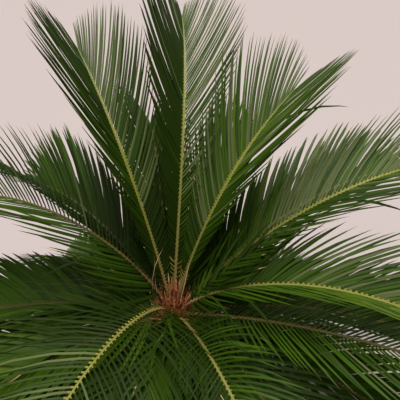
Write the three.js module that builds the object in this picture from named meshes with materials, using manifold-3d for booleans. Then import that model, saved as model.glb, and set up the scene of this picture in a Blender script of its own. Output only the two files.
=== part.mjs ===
// Sago palm in a plain round pot: millimetres, +Z up, origin at the centre of the pot's flat underside.
// The pot holds a body of soil, the trunk stands on the soil from a flat cut, the crown caps the trunk,
// and every frond leaves the crown square to its surface, a hair clear of it.
import * as THREE from 'three';
import { mergeVertices } from 'three/addons/utils/BufferGeometryUtils.js';
import Module from 'manifold-3d';

// Driving dimensions of the pot and the soil
const potHeight = 300;
const potFootRadius = 122;
const potNeckRadius = 162;
const rimRadius = 170;
const rimHeight = 32;
const potWall = 9;
const potFloor = 14;
const potChamfer = 3;
const soilBelowRim = 30;
const soilFall = 6;
const soilLedge = 12;
const roundSides = 40;

// Driving dimensions of the trunk and the crown
const trunkHeight = 136;
const trunkBulge = 66;
const rootFlare = 5;
const leafBaseRelief = 5;
const leafBasesAround = 13;
const leafBaseRows = 9;
const crownRadius = 32;
const crownFootSlope = -33;
const crownSides = 26;
const scaleCount = 36;
const scaleLength = 30;
const scaleWidth = 8;
const stubCount = 9;
const stubLength = 20;
const stubWidth = 9;
const spikeSunk = 5;

// Driving dimensions of a frond: its rib is triangular with a flat upper face, and the first stretch is bare
const ribWidth = 7.5;
const ribDepth = 6;
const ribTipShare = 0.35;
const bareShare = 0.05;
const pitches = 13;
const rootStart = 0.2;
const rootEnd = 0.62;
const archedDroop = 85;
const cutShare = 0.45;

// Driving dimensions of a leaflet. It leans forward from the rib, less and less far out towards the tip
const longestLeaflet = 240;
const leafletWidth = 19;
const leafletThickness = 2.3;
const shortLeafletWidth = 0.35;
const shortestLeaflet = 60;
const widestAt = 0.42;
const crowding = 0.66;
const fullAt = 0.5;
const growBend = 1.8;
const tipStart = 0.55;
const tipLoss = 0.75;
const tipBend = 2;
const leanAtBase = 70;
const leanFall = 44;
const leanBend = 0.4;
const tipFold = 14;
const foldBend = 5;
const forwardCurl = 0.2;

// Clearances: touching pieces, neighbouring leaves, and the lowest level that a leaf may reach
const seatGap = 0.3;
const leafGap = 0.4;
const lowestLeaf = 25;

// turn is a frond's direction seen from above (0 is +X, 90 is +Y), rise its slope at the crown, droop how
// far the slope has fallen at its tip, hang how late it falls, sway how far it turns on the way, and length
// that of its rib. Its leaflets lift by open, the right hand ones by roll more and the left hand ones by
// roll less, lean out by lean more than the rule, start at the share foot of the longest, and hang by the
// share sag of their length
const upperFronds = [
  { turn: 122, rise: 67, droop: 32, hang: 1.0, sway: -4, length: 540,
    open: 28, roll: -8, lean: 0, foot: 0.12, sag: 0.05 },
  { turn: 76, rise: 68, droop: 48, hang: 1.0, sway: 15, length: 680,
    open: 31, roll: -14, lean: -2, foot: 0.04, sag: 0.04 },
  { turn: 38, rise: 67, droop: 40, hang: 1.1, sway: 0, length: 490,
    open: 22, roll: -5, lean: -2, foot: 0.04, sag: 0.05 },
  { turn: 5, rise: 48, droop: 63, hang: 1.1, sway: 17, length: 690,
    open: 20, roll: -8, lean: 0, foot: 0.25, sag: 0.06 },
  { turn: -20, rise: 45, droop: 94, hang: 0.85, sway: -3, length: 680,
    open: 32, roll: -10, lean: -6, foot: 0.8, sag: 0.1 },
  { turn: -33, rise: 21, droop: 43, hang: 1.25, sway: 4, length: 680,
    open: 14, roll: -4, lean: 4, foot: 0.4, sag: 0.15 },
  { turn: -70, rise: 28, droop: 90, hang: 0.8, sway: -4, length: 650,
    open: 26, roll: -14, lean: 14, foot: 0.35, sag: 0.26 },
  { turn: -123, rise: 50, droop: 120, hang: 0.7, sway: 8, length: 650,
    open: 20, roll: 4, lean: 20, foot: 0.95, sag: 0.3 },
  { turn: 154, rise: 57, droop: 92, hang: 0.8, sway: 2, length: 700,
    open: 33, roll: 12, lean: 2, foot: 0.8, sag: 0.08 },
  { turn: 204, rise: 7, droop: 56, hang: 1.0, sway: 0, length: 640,
    open: 30, roll: 4, lean: 0, foot: 0.6, sag: 0.14 },
  { turn: 24, rise: 36, droop: 52, hang: 1.2, sway: 4, length: 650,
    open: 28, roll: 0, lean: 0, foot: 0.6, sag: 0.08 },
  { turn: 95, rise: 49, droop: 48, hang: 1.2, sway: 0, length: 470,
    open: 40, roll: 0, lean: -8, foot: 0.5, sag: 0.04 },
  { turn: 62, rise: 46, droop: 50, hang: 1.2, sway: 0, length: 480,
    open: 40, roll: 0, lean: -8, foot: 0.5, sag: 0.04 },
  { turn: 134, rise: 38, droop: 54, hang: 1.2, sway: 0, length: 480,
    open: 34, roll: 0, lean: -4, foot: 0.5, sag: 0.06 },
  { turn: 172, rise: 9, droop: 52, hang: 1.1, sway: 0, length: 640,
    open: 28, roll: 0, lean: 0, foot: 0.6, sag: 0.1 },
  { turn: -8, rise: 13, droop: 56, hang: 1.1, sway: 0, length: 640,
    open: 28, roll: 0, lean: 0, foot: 0.6, sag: 0.1 },
];

// The lowest fronds stand in an even ring, by turns flatter and steeper
const ringCount = 12;
const ringStart = -23;
const ringRises = [-7, -2];
const ringLengths = [660, 630, 645];
const ringFrond = { droop: 46, hang: 1.25, sway: 0, open: 26, roll: 0, lean: 0, foot: 0.6, sag: 0.14 };

const potColour = 0xb4714c;
const soilColour = 0x4b3a2c;
const trunkColour = 0x5a4230;
const crownColour = 0x9a5f33;
const frondColour = 0x3a5a26;

const wasm = await Module();
wasm.setup();

const radians = THREE.MathUtils.degToRad;
const up = new THREE.Vector3(0, 0, 1);
const goldenAngle = Math.PI * (3 - Math.sqrt(5));
const soilTop = potHeight - soilBelowRim;
const trunkFoot = soilTop + seatGap;
const trunkTop = trunkFoot + trunkHeight;
const crownFoot = trunkTop + seatGap;
const crownCentre = new THREE.Vector3(0, 0, crownFoot - crownRadius * Math.sin(radians(crownFootSlope)));

// The direction with this turn and slope, both in radians
function heading(turn, slope) {
  return new THREE.Vector3(
    Math.cos(slope) * Math.cos(turn),
    Math.cos(slope) * Math.sin(turn),
    Math.sin(slope),
  );
}

// start + a * u + b * v + c * w
function offset(start, u, a, v = up, b = 0, w = up, c = 0) {
  return start.clone().addScaledVector(u, a).addScaledVector(v, b).addScaledVector(w, c);
}

function meshFrom(points, faces) {
  const geometry = new THREE.BufferGeometry();
  geometry.setAttribute('position', new THREE.Float32BufferAttribute(points.flatMap((p) => p.toArray()), 3));
  geometry.setIndex(faces.flat());
  return geometry;
}

function solidOf(geometry) {
  const bare = geometry.clone();
  bare.deleteAttribute('normal');
  bare.deleteAttribute('uv');
  const merged = mergeVertices(bare, 1e-4);
  return new wasm.Manifold(new wasm.Mesh({
    numProp: 3,
    vertProperties: new Float32Array(merged.attributes.position.array),
    triVerts: new Uint32Array(merged.index.array),
  }));
}

function geometryOf(solid) {
  const mesh = solid.getMesh();
  const geometry = new THREE.BufferGeometry();
  geometry.setAttribute('position', new THREE.BufferAttribute(new Float32Array(mesh.vertProperties), 3));
  geometry.setIndex(new THREE.BufferAttribute(new Uint32Array(mesh.triVerts), 1));
  return geometry;
}

// Turns an outline of radius and height pairs round the Z axis
function turned(outline, sides = roundSides) {
  const profile = outline.map(([radius, height]) => new THREE.Vector2(radius, height));
  return new THREE.LatheGeometry(profile, sides).rotateX(Math.PI / 2);
}

// A convex block between two loops of corners, the second of which may be a single point
function block(first, second) {
  const points = [...first, ...second];
  const edges = [];
  const normals = [];
  const count = first.length;
  for (let k = 0; k < count; k += 1) {
    const next = (k + 1) % count;
    const rim = first[next].clone().sub(first[k]);
    const wall = second[k % second.length].clone().sub(first[k]);
    edges.push(rim, wall);
    normals.push(rim.clone().cross(wall));
    if (second.length > 1) {
      edges.push(second[next].clone().sub(second[k]));
      normals.push(second[next].clone().sub(first[next]).cross(second[next].clone().sub(second[k])));
    }
  }
  normals.push(edges[0].clone().cross(edges[edges.length > count * 2 ? 3 : 2]));
  return { points, edges, normals, box: new THREE.Box3().setFromPoints(points) };
}

function spanAlong(points, axis) {
  let low = Infinity;
  let high = -Infinity;
  for (const point of points) {
    const reach = point.dot(axis);
    low = Math.min(low, reach);
    high = Math.max(high, reach);
  }
  return [low, high];
}

function splitBy(a, b, axis, gap) {
  const size = axis.length();
  if (size < 1e-6) {
    return false;
  }
  const [lowA, highA] = spanAlong(a.points, axis);
  const [lowB, highB] = spanAlong(b.points, axis);
  return Math.max(lowA - highB, lowB - highA) > gap * size;
}

// Two convex blocks are apart where some plane between them has them at least the gap from each other
function areApart(a, b, gap) {
  if (!a.box.clone().expandByScalar(gap).intersectsBox(b.box)) {
    return true;
  }
  if ([...a.normals, ...b.normals].some((axis) => splitBy(a, b, axis, gap))) {
    return true;
  }
  return a.edges.some((edge) => b.edges.some((other) => splitBy(a, b, edge.clone().cross(other), gap)));
}

// The curve of a frond's rib, as a function of the share of its length
function ribCurve(frond) {
  const steps = 80;
  const turn = (share) => radians(frond.turn + frond.sway * share);
  const slope = (share) => radians(frond.rise - frond.droop * share ** frond.hang);
  const points = [offset(crownCentre, heading(turn(0), slope(0)), crownRadius + seatGap)];
  for (let i = 0; i < steps; i += 1) {
    const share = (i + 0.5) / steps;
    points.push(offset(points[i], heading(turn(share), slope(share)), frond.length / steps));
  }
  return (share) => {
    const place = Math.min(share, 1) * steps;
    const index = Math.min(Math.floor(place), steps - 1);
    const along = heading(turn(share), slope(share));
    const side = along.clone().cross(up).normalize();
    const point = points[index].clone().lerp(points[index + 1], place - index);
    return { point, along, side, over: side.clone().cross(along) };
  };
}

// Corners of the rib's section: left, right and under
function ribSection(frame, share) {
  const size = 1 - (1 - ribTipShare) * share;
  return [
    offset(frame.point, frame.side, -ribWidth * size / 2),
    offset(frame.point, frame.side, ribWidth * size / 2),
    offset(frame.point, frame.over, -ribDepth * size),
  ];
}

// Share of the longest leaflet at share u of the leafy stretch: short at the foot, longest in the middle
function leafletShare(frond, u) {
  const pastTipStart = Math.max(0, (u - tipStart) / (1 - tipStart));
  const grown = Math.min(1, frond.foot + (1 - frond.foot) * (u / fullAt) ** growBend);
  return grown * (1 - tipLoss * pastTipStart ** tipBend);
}

function leafletLean(frond, u) {
  return radians(frond.lean + leanAtBase - leanFall * u ** leanBend - tipFold * u ** foldBend);
}

// A leaflet leans forward from the rib, lifts by its open angle, curls forward and sags
function leafletAxis(frond, frame, u, hand, length) {
  const lean = leafletLean(frond, u);
  const open = radians(frond.open + hand * frond.roll);
  const outward = frame.side.clone().multiplyScalar(hand * Math.cos(open))
    .addScaledVector(frame.over, Math.sin(open));
  const straight = offset(new THREE.Vector3(), frame.along, Math.cos(lean), outward, Math.sin(lean));
  const at = (k) => offset(frame.point, straight, k * length, frame.along, forwardCurl * k * k * length,
    up, -frond.sag * k * k * length);
  return { straight, at };
}

// The blade from its root on the rib: a section near the middle of its length and a pointed tip
function leafletBlade(frond, frame, u, hand, length, pitch) {
  const { straight, at } = leafletAxis(frond, frame, u, hand, length);
  const across = frame.along.clone().addScaledVector(straight, -frame.along.dot(straight)).normalize();
  const over = straight.clone().cross(across).multiplyScalar(hand);
  const room = crowding * pitch * Math.sin(leafletLean(frond, u));
  const halfWidth = Math.min(leafletWidth, room, shortLeafletWidth * length) / 2;
  const corner = (forward, lift) => offset(at(widestAt), across, forward * halfWidth,
    over, lift * leafletThickness / 2);
  const rearTop = corner(-1, 1);
  const rearUnder = corner(-1, -1);
  const frontUnder = corner(1, -1);
  const frontTop = corner(1, 1);
  const loop = hand > 0
    ? [rearTop, rearUnder, frontUnder, frontTop]
    : [rearUnder, rearTop, frontTop, frontUnder];
  return { loop, tip: at(1) };
}

// Stations along the rib: the bare stretch, then the two edges of each leaflet's root. An arched frond is in
// two lengths, so it has a cut with a station on each side of it.
function ribStations(frond) {
  const stations = [{ share: 0 }, { share: bareShare * 0.35 }, { share: bareShare * 0.7 }];
  const pitch = (1 - bareShare) / pitches;
  const cutPitch = frond.droop > archedDroop ? Math.floor(pitches * cutShare) : -1;
  for (let i = 0; i < pitches; i += 1) {
    const start = bareShare + i * pitch;
    stations.push({ share: start + rootStart * pitch, root: true }, { share: start + rootEnd * pitch });
    if (i === cutPitch) {
      const halfGap = seatGap / 2 / frond.length;
      const cut = start + (1 + rootStart + rootEnd) / 2 * pitch;
      stations.push({ share: cut - halfGap, cut: true }, { share: cut + halfGap });
    }
  }
  return stations;
}

function ribOf(frond) {
  const curve = ribCurve(frond);
  const stations = ribStations(frond);
  const sections = stations.map(({ share }) => ribSection(curve(share), share));
  const tip = curve(1).point;
  const blocks = [];
  for (let i = 0; i + 1 < sections.length; i += 1) {
    blocks.push(block(sections[i], sections[i + 1]));
  }
  blocks.push(block(sections.at(-1), [tip]));
  return { frond, curve, stations, sections, tip, blocks, leaflets: [] };
}

// The four corners of a leaflet's root on the rib, in the order of the blade's loop
function rootLoop(rib, index, hand) {
  const [leftA, rightA, underA] = rib.sections[index];
  const [leftB, rightB, underB] = rib.sections[index + 1];
  return hand > 0 ? [rightA, underA, underB, rightB] : [underA, leftA, leftB, underB];
}

// A leaf keeps above the lowest level and off the pot
function isOverPot(points) {
  const lowest = Math.min(...points.map((point) => point.z));
  const nearest = Math.min(...points.map((point) => Math.hypot(point.x, point.y)));
  return lowest > lowestLeaf && (lowest > potHeight + leafGap || nearest > rimRadius + leafletWidth);
}

// Places the leaflets of one rib: one that would meet another piece is tried shorter, and then left out.
// The result is the blocks that they fill.
function growLeaflets(rib, others) {
  const pitch = rib.frond.length * (1 - bareShare) / pitches;
  const trials = [1, 0.84, 0.68, 0.52, 0.38];
  const own = [];
  const isFree = (piece) => [...others, ...own].every((other) => areApart(piece, other, leafGap));
  for (let index = 0; index < rib.stations.length; index += 1) {
    if (!rib.stations[index].root) {
      continue;
    }
    const share = (rib.stations[index].share + rib.stations[index + 1].share) / 2;
    const u = (share - bareShare) / (1 - bareShare);
    const full = longestLeaflet * leafletShare(rib.frond, u);
    const lengths = trials.map((trial) => full * trial).filter((length) => length > shortestLeaflet);
    const pair = [];
    for (const hand of [1, -1]) {
      const root = rootLoop(rib, index, hand);
      for (const length of lengths) {
        const { loop, tip } = leafletBlade(rib.frond, rib.curve(share), u, hand, length, pitch);
        const blocks = [block(root, loop), block(loop, [tip])];
        if (isOverPot([...loop, tip]) && blocks.every(isFree)) {
          rib.leaflets.push({ index, hand, loop, tip });
          pair.push(...blocks);
          break;
        }
      }
    }
    own.push(...pair);
  }
  return own;
}

// One closed mesh from one station to another: the rib, with its leaflets drawn out of its lower faces
function frondGeometry(rib, first, last) {
  const points = rib.sections.flat();
  const tip = points.push(rib.tip) - 1;
  const corner = (index, k) => index * 3 + (k % 3);
  const faces = [[corner(first, 0), corner(first, 2), corner(first, 1)]];
  const quad = (a, b, c, d) => faces.push([a, b, c], [a, c, d]);
  for (let index = first; index < last; index += 1) {
    for (let k = 0; k < 3; k += 1) {
      const hand = k === 1 ? 1 : -1;
      const leaflet = k > 0 && rib.leaflets.find((leaf) => leaf.index === index && leaf.hand === hand);
      const root = [corner(index, k), corner(index, k + 1), corner(index + 1, k + 1), corner(index + 1, k)];
      if (!leaflet) {
        quad(...root);
        continue;
      }
      const start = points.length;
      points.push(...leaflet.loop, leaflet.tip);
      for (let e = 0; e < 4; e += 1) {
        const next = (e + 1) % 4;
        quad(root[e], root[next], start + next, start + e);
        faces.push([start + e, start + next, start + 4]);
      }
    }
  }
  if (last < rib.sections.length - 1) {
    faces.push([corner(last, 0), corner(last, 1), corner(last, 2)]);
  } else {
    for (let k = 0; k < 3; k += 1) {
      faces.push([corner(last, k), corner(last, k + 1), tip]);
    }
  }
  return mergeVertices(meshFrom(points, faces).toNonIndexed());
}

// A frond is one piece, or two where it is cut: the near length and the far one
function frondMeshes(name, rib) {
  const end = rib.sections.length - 1;
  const cut = rib.stations.findIndex((station) => station.cut);
  if (cut < 0) {
    return [named(name, frondGeometry(rib, 0, end), frondColour, 0.45)];
  }
  return [
    named(`${name}_near`, frondGeometry(rib, 0, cut), frondColour, 0.45),
    named(`${name}_far`, frondGeometry(rib, cut + 1, end), frondColour, 0.45),
  ];
}

function potGeometry() {
  const rimFoot = potHeight - rimHeight;
  return turned([
    [0, 0],
    [potFootRadius - potChamfer, 0],
    [potFootRadius, potChamfer],
    [potNeckRadius, rimFoot],
    [rimRadius, rimFoot + potChamfer],
    [rimRadius, potHeight - potChamfer],
    [rimRadius - potChamfer, potHeight],
    [potNeckRadius - potWall + potChamfer, potHeight],
    [potNeckRadius - potWall, potHeight - potChamfer],
    [potNeckRadius - potWall, rimFoot],
    [potFootRadius - potWall, potFloor],
    [0, potFloor],
  ]);
}

// Radius of the pot's inner wall at a height below its rim
function potInside(height) {
  const share = (height - potFloor) / (potHeight - rimHeight - potFloor);
  return potFootRadius - potWall + (potNeckRadius - potFootRadius) * share;
}

function soilGeometry() {
  const foot = potFloor + seatGap;
  const shoulder = soilTop - soilFall;
  const slack = 2 * seatGap;
  return turned([
    [0, foot],
    [potInside(foot) - slack, foot],
    [potInside(shoulder) - slack, shoulder],
    [trunkBulge + rootFlare + soilLedge, soilTop],
    [0, soilTop],
  ]);
}

// Radius of the trunk at a share of its height: a bulb that closes to the crown, with a flare at the soil
function trunkRadius(share) {
  const crownFootRadius = crownRadius * Math.cos(radians(crownFootSlope));
  const bulb = crownFootRadius + (trunkBulge - crownFootRadius) * Math.sqrt(1 - share ** 2.4);
  return bulb + rootFlare * (1 - share) ** 6;
}

// Staggered rows of lozenges, each raised at its middle: the feet of old fronds
function trunkGeometry() {
  const around = (column) => column * 2 * Math.PI / leafBasesAround;
  const place = (row, column, relief) => {
    const share = row / leafBaseRows;
    const radius = trunkRadius(share) + relief;
    const turn = around(column + (row % 2) / 2);
    const height = trunkFoot + share * trunkHeight;
    return new THREE.Vector3(radius * Math.cos(turn), radius * Math.sin(turn), height);
  };
  const points = [new THREE.Vector3(0, 0, trunkFoot), new THREE.Vector3(0, 0, trunkTop)];
  const faces = [];
  const valley = (row, column) => 2 + row * leafBasesAround + (column + leafBasesAround) % leafBasesAround;
  for (let row = 0; row <= leafBaseRows; row += 1) {
    for (let column = 0; column < leafBasesAround; column += 1) {
      points.push(place(row, column, 0));
    }
  }
  for (let column = 0; column < leafBasesAround; column += 1) {
    const topShift = leafBaseRows % 2;
    faces.push([0, valley(0, column + 1), valley(0, column)]);
    faces.push([valley(0, column), valley(0, column + 1), valley(1, column)]);
    faces.push([1, valley(leafBaseRows, column), valley(leafBaseRows, column + 1)]);
    faces.push([valley(leafBaseRows, column + 1), valley(leafBaseRows, column),
      valley(leafBaseRows - 1, column + topShift)]);
    for (let row = 1; row < leafBaseRows; row += 1) {
      const shift = row % 2;
      const lozenge = [valley(row, column), valley(row - 1, column + shift),
        valley(row, column + 1), valley(row + 1, column + shift)];
      const peak = points.length;
      points.push(place(row, column + 0.5, leafBaseRelief));
      for (let k = 0; k < 4; k += 1) {
        faces.push([peak, lozenge[k], lozenge[(k + 1) % 4]]);
      }
    }
  }
  return meshFrom(points, faces);
}

// A four-sided spike or peg that stands on the crown, sunk in it. endShare is how much of its width is
// left at its far end.
function spike(direction, lift, length, width, endShare) {
  const root = offset(crownCentre, direction, crownRadius - spikeSunk);
  const along = direction.clone().addScaledVector(up, lift).normalize();
  const side = Math.abs(along.z) > 0.999 ? new THREE.Vector3(1, 0, 0) : along.clone().cross(up).normalize();
  const over = side.clone().cross(along);
  const loop = (centre, size) => [[-1, -0.6], [1, -0.6], [1, 0.6], [-1, 0.6]]
    .map(([a, b]) => offset(centre, side, a * size / 2, over, b * size / 2));
  return { near: loop(root, width), far: loop(offset(root, along, length + spikeSunk), width * endShare) };
}

function spikeGeometry({ near, far }) {
  const faces = [[0, 1, 2], [0, 2, 3], [4, 6, 5], [4, 7, 6]];
  for (let k = 0; k < 4; k += 1) {
    const next = (k + 1) % 4;
    faces.push([next, k, k + 4], [next, k + 4, next + 4]);
  }
  return meshFrom([...near, ...far], faces);
}

// Pointed scales over the crown and cut stalks round its foot, wherever they stand clear of the ribs
function crownSpikes(taken) {
  const spikes = [];
  const keep = (piece) => {
    const body = block(piece.near, piece.far);
    if (taken.every((other) => areApart(body, other, seatGap))) {
      spikes.push(piece);
      return true;
    }
    return false;
  };
  for (let i = 0; i < scaleCount; i += 1) {
    const slope = Math.asin(1 - 0.78 * (i + 0.5) / scaleCount);
    const direction = heading(i * goldenAngle, slope);
    const length = scaleLength * (0.55 + 0.45 * Math.sin(slope));
    [1, 0.7, 0.45].some((share) => keep(spike(direction, 0.35, length * share, scaleWidth, 0.12)));
  }
  for (let i = 0; i < stubCount; i += 1) {
    const slope = radians(-14 + 5 * (i % 2));
    keep(spike(heading(2 * Math.PI * (i + 0.3) / stubCount, slope), 0.3, stubLength, stubWidth, 0.8));
  }
  taken.push(...spikes.map((piece) => block(piece.near, piece.far)));
  return spikes;
}

function crownGeometry(taken) {
  const outline = [[0, crownFoot]];
  const rows = 11;
  for (let row = 0; row < rows; row += 1) {
    const slope = radians(crownFootSlope + (90 - crownFootSlope) * row / rows);
    outline.push([crownRadius * Math.cos(slope), crownCentre.z + crownRadius * Math.sin(slope)]);
  }
  outline.push([0, crownCentre.z + crownRadius]);
  const dome = solidOf(turned(outline, crownSides));
  const whole = crownSpikes(taken).reduce((sum, piece) => sum.add(solidOf(spikeGeometry(piece))), dome);
  return geometryOf(whole);
}

function named(name, geometry, color, roughness) {
  const mesh = new THREE.Mesh(geometry, new THREE.MeshStandardMaterial({ color, roughness, metalness: 0 }));
  mesh.name = name;
  return mesh;
}

function ringFronds() {
  const fronds = [];
  for (let i = 0; i < ringCount; i += 1) {
    fronds.push({
      ...ringFrond,
      turn: ringStart + i * 360 / ringCount,
      rise: ringRises[i % ringRises.length],
      length: ringLengths[i % ringLengths.length],
    });
  }
  return fronds;
}

const palm = new THREE.Group();
palm.add(named('pot', potGeometry(), potColour, 0.55));
palm.add(named('soil', soilGeometry(), soilColour, 0.95));
palm.add(named('trunk', trunkGeometry(), trunkColour, 0.9));

const upperRibs = upperFronds.map(ribOf);
const ringRibs = ringFronds().map(ribOf);
const taken = [...upperRibs, ...ringRibs].flatMap((rib) => rib.blocks);
palm.add(named('crown', crownGeometry(taken), crownColour, 0.9));

for (const [kind, ribs] of [['frond_upper', upperRibs], ['frond_ring', ringRibs]]) {
  ribs.forEach((rib, i) => {
    const others = taken.filter((piece) => !rib.blocks.includes(piece));
    taken.push(...growLeaflets(rib, others));
    palm.add(...frondMeshes(`${kind}_${String(i + 1).padStart(2, '0')}`, rib));
  });
}

export default palm;
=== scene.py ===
import math
import bpy
import numpy as np
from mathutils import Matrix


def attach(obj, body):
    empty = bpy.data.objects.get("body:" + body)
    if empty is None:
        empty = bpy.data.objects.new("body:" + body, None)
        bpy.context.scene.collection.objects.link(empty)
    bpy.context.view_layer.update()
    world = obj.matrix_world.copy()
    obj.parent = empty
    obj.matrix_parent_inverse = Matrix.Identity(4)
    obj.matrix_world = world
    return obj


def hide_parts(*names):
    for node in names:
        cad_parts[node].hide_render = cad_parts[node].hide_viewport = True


# A sago palm in a plain round pot, in metres: +Z up, origin at the centre of the pot's underside
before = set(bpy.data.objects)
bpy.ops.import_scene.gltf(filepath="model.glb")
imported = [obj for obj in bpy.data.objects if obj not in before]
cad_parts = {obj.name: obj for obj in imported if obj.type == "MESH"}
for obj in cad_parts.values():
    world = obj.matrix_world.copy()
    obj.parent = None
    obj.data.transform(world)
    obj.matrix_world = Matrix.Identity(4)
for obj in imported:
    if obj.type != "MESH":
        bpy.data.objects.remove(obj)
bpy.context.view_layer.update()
print("frame loaded:", len(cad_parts), "nodes")
scene = bpy.context.scene

up = np.array([0.0, 0.0, 1.0])
goldenAngle = 180 * (3 - math.sqrt(5))  # in degrees

# Levels and sizes that several pieces share, as in the part's source
plant = {
    "soilTop": 0.270, "trunkFoot": 0.2703, "trunkHeight": 0.136, "crownFoot": 0.4066, "crownRadius": 0.032,
    "crownFootSlope": -33, "seatGap": 0.0003, "seed": 7,
}
footSlope = math.radians(plant["crownFootSlope"])
crownCentre = up * (plant["crownFoot"] - plant["crownRadius"] * math.sin(footSlope))


def unit(v):
    # v / |v|
    return v / np.maximum(np.linalg.norm(v, axis=-1, keepdims=True), 1e-12)


def heading(turn, slope):
    # (cos slope cos turn, cos slope sin turn, sin slope), with both angles in degrees
    turn, slope = np.broadcast_arrays(np.radians(turn), np.radians(slope))
    return np.stack([np.cos(slope) * np.cos(turn), np.cos(slope) * np.sin(turn), np.sin(slope)], -1)


def fromAxis(points):
    # sqrt(x^2 + y^2)
    return np.hypot(points[..., 0], points[..., 1])


def ripple(points, size, seed, waves=14):
    # sum of sin(k p + phase) / sqrt(waves / 2), over random wave vectors k about 2 pi / size long
    spread = (0.6, 1.6)  # of their lengths
    draw = np.random.default_rng(seed)
    k = unit(draw.normal(size=(waves, points.shape[-1])))
    k = k * draw.uniform(*spread, (waves, 1)) * 2 * math.pi / size
    phase = draw.uniform(0, 2 * math.pi, waves)
    return np.sin(points @ k.T + phase).sum(-1) / math.sqrt(waves / 2)


def tubeFaces(shape, start):
    # Of points[tube, ring, side] numbered from start on: walls, quads of rings i, i + 1 and sides j, j + 1,
    # and the caps of the ends
    number = start + np.arange(math.prod(shape)).reshape(shape)
    near, far = number[:, :-1], number[:, 1:]
    walls = np.stack([near, np.roll(near, -1, 2), np.roll(far, -1, 2), far], -1)
    caps = np.stack([number[:, 0, ::-1], number[:, -1]], 1)
    return walls.reshape(-1, 4), caps.reshape(-1, shape[2])


def addObject(name, data):
    # A new object, linked to the scene
    added = bpy.data.objects.new(name, data)
    scene.collection.objects.link(added)
    return added


def makePiece(name, tubes, finishes, nodes, sharp=None):
    # One piece from tubes. Each is points[tube, ring, side], its looks, which are the finish numbers of its
    # bands or one number for all, and a uv where it needs one
    points, walls, caps, looks, capLooks, uvs, start = [], [], [], [], [], [], 0
    for places, bandLooks, *uv in tubes:
        count, rings, sides = places.shape[:3]
        bandLooks = np.broadcast_to(bandLooks, (count, rings - 1))
        wall, cap = tubeFaces((count, rings, sides), start)
        points.append(places.reshape(-1, 3))
        uvs.append(uv[0].reshape(-1, 2) if uv else np.zeros((len(points[-1]), 2)))
        walls.append(wall)
        caps.append(cap)
        looks.append(np.repeat(bandLooks.ravel(), sides))
        capLooks.append(bandLooks[:, [0, -1]].ravel())
        start += len(points[-1])
    points, uvs = np.concatenate(points), np.concatenate(uvs)
    faces = [np.concatenate(walls)] + caps
    looks = np.concatenate(looks + capLooks)
    corners = np.concatenate([face.ravel() for face in faces])
    sizes = np.concatenate([np.full(len(face), face.shape[1]) for face in faces])
    mesh = bpy.data.meshes.new(name)
    mesh.vertices.add(len(points))
    mesh.vertices.foreach_set("co", points.ravel())
    mesh.loops.add(len(corners))
    mesh.loops.foreach_set("vertex_index", corners)
    mesh.polygons.add(len(sizes))
    mesh.polygons.foreach_set("loop_start", np.cumsum(sizes) - sizes)
    mesh.polygons.foreach_set("material_index", looks)
    mesh.polygons.foreach_set("use_smooth", np.arange(len(sizes)) < len(faces[0]))
    mesh.update(calc_edges=True)
    mesh.uv_layers.new(name="lay").data.foreach_set("uv", uvs[corners].ravel())
    if sharp:
        mesh.set_sharp_from_angle(angle=math.radians(sharp))
    for finish in finishes:
        mesh.materials.append(finish.material)
    piece = addObject(name, mesh)
    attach(piece, "root")
    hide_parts(*nodes)


def blades(root, straight, across, bend, length, width, shape, twist=0.0):
    # Centre line: root + length (t straight + t^2 bend). Its section at t is
    # centre + width widths(t) (x a + y o), where a is across made square to the line, o = line x a, and both
    # are turned by twist t degrees. shape has the rings' places t, their widths and the corners (x, y)
    t = np.asarray(shape["rings"])[None, :, None]
    length, width = (np.broadcast_to(size, len(root))[:, None, None] for size in (length, width))
    centre = root[:, None] + length * (t * straight[:, None] + t * t * bend[:, None])
    line = unit(straight[:, None] + 2 * t * bend[:, None])
    a = unit(across[:, None] - line * (across[:, None] * line).sum(-1, keepdims=True))
    o = np.cross(line, a)
    turn = np.radians(np.broadcast_to(twist, len(root)))[:, None, None] * t
    a, o = a * np.cos(turn) + o * np.sin(turn), o * np.cos(turn) - a * np.sin(turn)
    x, y = np.asarray(shape["section"]).T[:, None, None, :, None]
    size = width[..., None] * np.asarray(shape["widths"])[None, :, None, None]
    return centre[:, :, None] + size * (x * a[:, :, None] + y * o[:, :, None])


def turnedTube(outline, sides, dent):
    # One tube of radius and height pairs turned round Z: (r cos a, r sin a, h), plus dent(points)
    angle = np.arange(sides) * 2 * math.pi / sides
    radius, height = np.asarray(outline).T[:, :, None]
    points = np.stack([radius * np.cos(angle), radius * np.sin(angle), height + 0 * angle], -1)
    out, lift = dent(points)
    points[..., :2] *= 1 + (out / np.maximum(radius, 1e-4))[..., None]
    points[..., 2] += lift
    return points[None], 0


def softened(corners, radius, steps=4):
    # Each corner p between neighbours a and b gives way to (1-t)^2 pa + 2t(1-t) p + t^2 pb, with pa and pb
    # on its sides, radius away from it
    p = np.asarray(corners, float)
    line = [p[:1]]
    t = np.linspace(0, 1, steps)[:, None]
    for before, corner, after in zip(p, p[1:], p[2:]):
        reach = min(radius, np.linalg.norm(before - corner) / 2, np.linalg.norm(after - corner) / 2)
        start, end = corner + unit(before - corner) * reach, corner + unit(after - corner) * reach
        line.append((1 - t) ** 2 * start + 2 * t * (1 - t) * corner + t ** 2 * end)
    return np.concatenate(line + [p[-1:]])


class Wire:
    # A number on its way through a material's nodes: sums and products of it add Math nodes
    def __init__(self, finish, socket):
        self.finish = finish
        self.socket = socket

    def math(self, operation, *values):
        return self.finish.node("ShaderNodeMath", {"operation": operation}, dict(enumerate(values)))

    def __add__(self, other):
        return self.math("ADD", self, other)

    def __sub__(self, other):
        return self.math("SUBTRACT", self, other)

    def __rsub__(self, other):
        return self.math("SUBTRACT", other, self)

    def __mul__(self, other):
        return self.math("MULTIPLY", self, other)


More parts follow.
